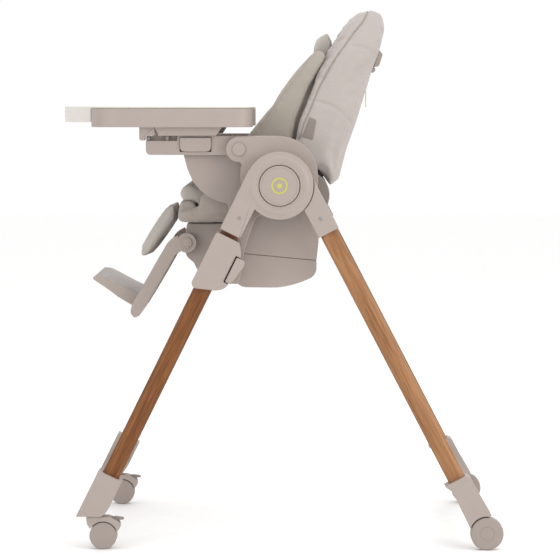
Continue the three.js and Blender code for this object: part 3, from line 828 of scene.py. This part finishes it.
# ---- Hubs and wheels ------------------------------------------------------------------------
REAR_WHEEL = (0.4057, 0, 0.0325)
TWIN_SECTION = ((0.01, 3.2), (24.8, 3.2), (26.9, 4.8), (26.9, 12.8), (24.8, 14.6), (0.01, 14.8))


def profile_disc(points, side, fillet):
    """A lathe profile for one side, from (radius, distance from the chair's middle) points."""
    line = rounded([(r, y) for r, y in points], fillet, 4)
    return [(p.x, side * p.y) for p in line]


for side, end in SIDES:
    face = profile_disc([
        (50, 271), (66.2, 271), (66.2, 280.8), (59, 281.2), (54.5, 284.0), (50, 284.4), (45, 283.4),
        (39.8, 282.8), (39.6, 271), (50, 271),
    ], side, 2.4)
    new_piece(
        f"hub_face_{end}", revolve("hub_face", face, HUB), None, "front_frame", "body_plastic",
    )
    inner = profile_disc([(0.01, 239.7), (64.3, 239.7), (64.3, 261.2), (0.01, 261.2)], side, 2)
    new_piece(
        f"rear_hub_disc_{end}", revolve("rear_hub_disc", inner, HUB),
        None, "rear_frame", "body_plastic",
    )
    cap = profile_disc([
        (0.01, 277.1), (39.1, 277.1), (39.1, 284.3), (37.4, 285.9), (35.4, 285.9), (34.9, 285.2),
        (34.3, 285.9), (20, 286.5), (0.01, 286.7),
    ], side, 0.9)
    new_piece(
        f"fold_button_{end}_cap", revolve("fold_cap", cap, HUB), None,
        f"fold_button_{end}", "body_plastic", (f"fold_button_{end}",),
    )
    ring = profile_disc([
        (12.6, 286.2), (16.2, 286.2), (16.2, 287.1), (12.6, 287.1), (12.6, 286.2),
    ], side, 0.3)
    new_piece(
        f"mark_ring_{end}", revolve("mark_ring", ring, HUB, 72),
        MARK_GREEN, f"fold_button_{end}", "body_plastic",
    )
    dot = profile_disc([(0.01, 286.2), (5.2, 286.2), (5.2, 287.2), (0.01, 287.3)], side, 0.4)
    new_piece(
        f"mark_dot_{end}", revolve("mark_dot", dot, HUB, 48),
        MARK_GREEN, f"fold_button_{end}", "body_plastic",
    )

    tyre = profile_disc([
        (0.01, 258.2), (30.5, 258.2), (32.4, 260.5), (32.4, 279.5), (30.0, 281.8), (14.6, 282.0),
        (13.9, 280.8), (12.6, 281.6), (0.01, 281.8),
    ], side, 1.0)
    new_piece(
        f"rear_wheel_{end}_tyre", revolve("rear_tyre", tyre, REAR_WHEEL), WHEEL_PLASTIC,
        f"rear_wheel_{end}", "body_plastic", (f"rear_wheel_{end}",),
    )

    castor = (-0.3495, side * 0.256, 0.027)
    for way, letter in ((-1, "a"), (1, "b")):
        half = rounded([Vector((r, way * y)) for r, y in TWIN_SECTION], 0.9, 3)
        new_piece(
            f"castor_wheel_{end}_{letter}", revolve("castor_half", half, castor, 72),
            WHEEL_PLASTIC, f"castor_wheels_{end}", "body_plastic",
            (f"castor_wheel_{end}",) if letter == "a" else (),
        )
    pin = profile_disc([(0.01, -4.0), (4.9, -4.0), (4.9, 4.0), (0.01, 4.0)], 1, 0.3)
    new_piece(
        f"castor_pin_{end}", revolve("castor_pin", pin, castor, 32),
        None, f"castor_wheels_{end}", "steel",
    )


# ---- Fine copies of the stiff nodes -----------------------------------------------------------
DISC_RADIUS = 0.0665
ARM_FACE = 0.281                       # the outer face of the front arms, from the chair's middle
TRAY_LOW = (0.829, 0.8335)             # the heights between which the tray's lower edge lies
TRAY_MIDDLE_X = -0.195
DRAFT_X, DRAFT_Y = 0.982, 0.989


def flush_disc(spot):
    """The front disc brought down level with the arm, outside the cap's recess."""
    across = math.hypot(spot.x - HUB[0], spot.z - HUB[2])
    if across < DISC_RADIUS and abs(spot.y) > ARM_FACE:
        return Vector((spot.x, math.copysign(ARM_FACE, spot.y), spot.z))
    return spot


def drafted_tray(spot):
    """The tray's wall drawn in towards its lower edge."""
    if TRAY_LOW[0] < spot.z < TRAY_LOW[1]:
        x = TRAY_MIDDLE_X + (spot.x - TRAY_MIDDLE_X) * DRAFT_X
        return Vector((x, spot.y * DRAFT_Y, spot.z))
    return spot


for end in "lr":
    for node, width in (
        ("rear_hub", 2.0), ("castor_hood", 0.8), ("castor_brake", 0.8), ("carriage_plate", 1.4),
        ("height_slider", 1.8), ("height_trigger", 1.2), ("arm_pin", 0.8), ("tray_button", 1.0),
    ):
        fine_copy(f"{node}_{end}", width)
    fine_copy(f"shoulder_strap_{end}", 0.6, clamp=True)
    fine_copy(f"front_hub_{end}", 2.0, reshape=flush_disc)
    for node in ("front_foot", "rear_foot", "tray_arm"):
        fine_copy(f"{node}_{end}", 1.6, clamp=True)
for node, width in (
    ("seat_shell", 1.6), ("seat_base", 1.6), ("backrest_frame", 1.5),
    ("front_crossbar", 1.0), ("rear_crossbar", 1.0), ("harness_buckle", 1.4),
    ("buckle_button", 0.8),
):
    fine_copy(node, width)
fine_copy("crotch_strap", 0.6, clamp=True)
fine_copy("tray_base", 1.0, reshape=drafted_tray)
fine_copy("tray_insert", 1.4)
fine_copy("footplate", 3.0, clamp=True)
fine_copy("legrest_frame", 1.6, clamp=True)
fine_copy("recline_lever", 1.6, MATERIALS["body_plastic"])


# ---- Lips, screws, pegs and caps --------------------------------------------------------------
BOX = [(0, 1, 3, 2), (4, 6, 7, 5), (0, 4, 5, 1), (2, 3, 7, 6), (0, 2, 6, 4), (1, 5, 7, 3)]
for side, end in SIDES:
    space = leg_space(FRONT_RAKE)
    corners = [
        space @ Vector((x * MM, side * y * MM, z * MM))
        for x in (-15.9, -15.15) for y in (262, 279.6) for z in (-215.8, -160.2)
    ]
    lip = mesh_from("trigger_lip", corners, BOX, smooth=False)
    new_piece(f"trigger_lip_{end}", lip, None, body_of[f"height_slider_{end}"], "body_plastic")

tab_line = rounded([Vector((0.1875, y, 0.9445)) for y in (-0.02, -0.018, 0.018, 0.02)], 0.001)
new_piece(
    "lever_tab", tube("lever_tab", tab_line, 0.0058, 20),
    None, body_of["recline_lever"], "body_plastic",
)

HINGE = (-0.188, 0, 0.598)
pin = revolve("hinge_pin", [(0.01, -162), (7.9, -162), (7.9, 162), (0.01, 162)], HINGE, 48)
new_piece("legrest_hinge_pin", pin, None, body_of["legrest_axle"], "steel", ("legrest_axle",))
for side, end in SIDES:
    line = profile_disc([
        (0.01, 162.2), (11.4, 162.2), (11.4, 164.2), (10.2, 165.4), (8.6, 165.4), (8.0, 164.5),
        (7.4, 165.2), (0.01, 165.7),
    ], side, 0.5)
    cap = revolve("hinge_cap", line, HINGE, 48)
    new_piece(f"hinge_cap_{end}", cap, None, body_of["legrest_axle"], "body_plastic")

SCREW = [(0.01, -1.5), (3.9, -1.5), (3.9, 0.2), (3.2, 0.9), (1.9, 1.2), (1.7, 0.4), (0.01, 0.4)]
PEG = [(0.01, 800), (3.6, 800), (3.6, 811), (2.8, 812), (0.01, 812)]
for side, end in SIDES:
    for name, x, y, z, body in (
        ("front", -80, 281, 653, "front_frame"),
        ("rear", 77.5, 278.4, 651.5, "rear_frame"),
    ):
        line = profile_disc([(r, y + d) for r, d in SCREW], side, 0.5)
        mesh = revolve("screw", line, (x * MM, 0, z * MM), 32)
        new_piece(f"{name}_screw_{end}", mesh, None, body, "steel")
    for k, x in enumerate((-260.5, -223)):
        peg = revolve("peg", PEG, (x * MM, side * 0.2135, 0), 20, "Z")
        new_piece(f"arm_peg_{k}_{end}", peg, None, f"tray_arm_{end}", "body_plastic")


# ---- Cord -------------------------------------------------------------------------------------
CORD_TOP, CORD_END, CORD_X = 0.919, 0.868, 0.1745
cord_path = [(CORD_X, 0, CORD_TOP + (CORD_END - CORD_TOP) * k / 16) for k in range(17)]
cord = new_piece(
    "pull_string", tube("pull_string", cord_path, 0.0011, 10),
    CORD_CLOTH, "pull_cord", "webbing", ("pull_cord",),
)

# ---- Harness between the backrest and the buckle ----------------------------------------------
for side, end in SIDES:
    line = spline([
        (0.0585, side * 0.046, 0.789), (0.050, side * 0.046, 0.765), (0.022, side * 0.043, 0.745),
        (-0.022, side * 0.036, 0.742), (-0.055, side * 0.026, 0.752), (-0.074, side * 0.017, 0.766),
    ], 6)
    mesh = tube(f"lap_strap_{end}", line, 0.001, 16, flat=0.026, up=(-0.35, 0, 0.94))
    strap = new_piece(f"lap_strap_{end}", mesh, None, None, "webbing")
    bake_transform(strap)

# ---- Floor ------------------------------------------------------------------------------------
FLOOR_HALF = 14
floor = mesh_from(
    "floor",
    [(x * FLOOR_HALF, y * FLOOR_HALF, 0) for x, y in ((-1, -1), (1, -1), (1, 1), (-1, 1))],
    [(0, 1, 2, 3)],
)
floor_piece = bpy.data.objects.new("floor", floor)
floor.materials.append(FLOOR)
bpy.context.scene.collection.objects.link(floor_piece)
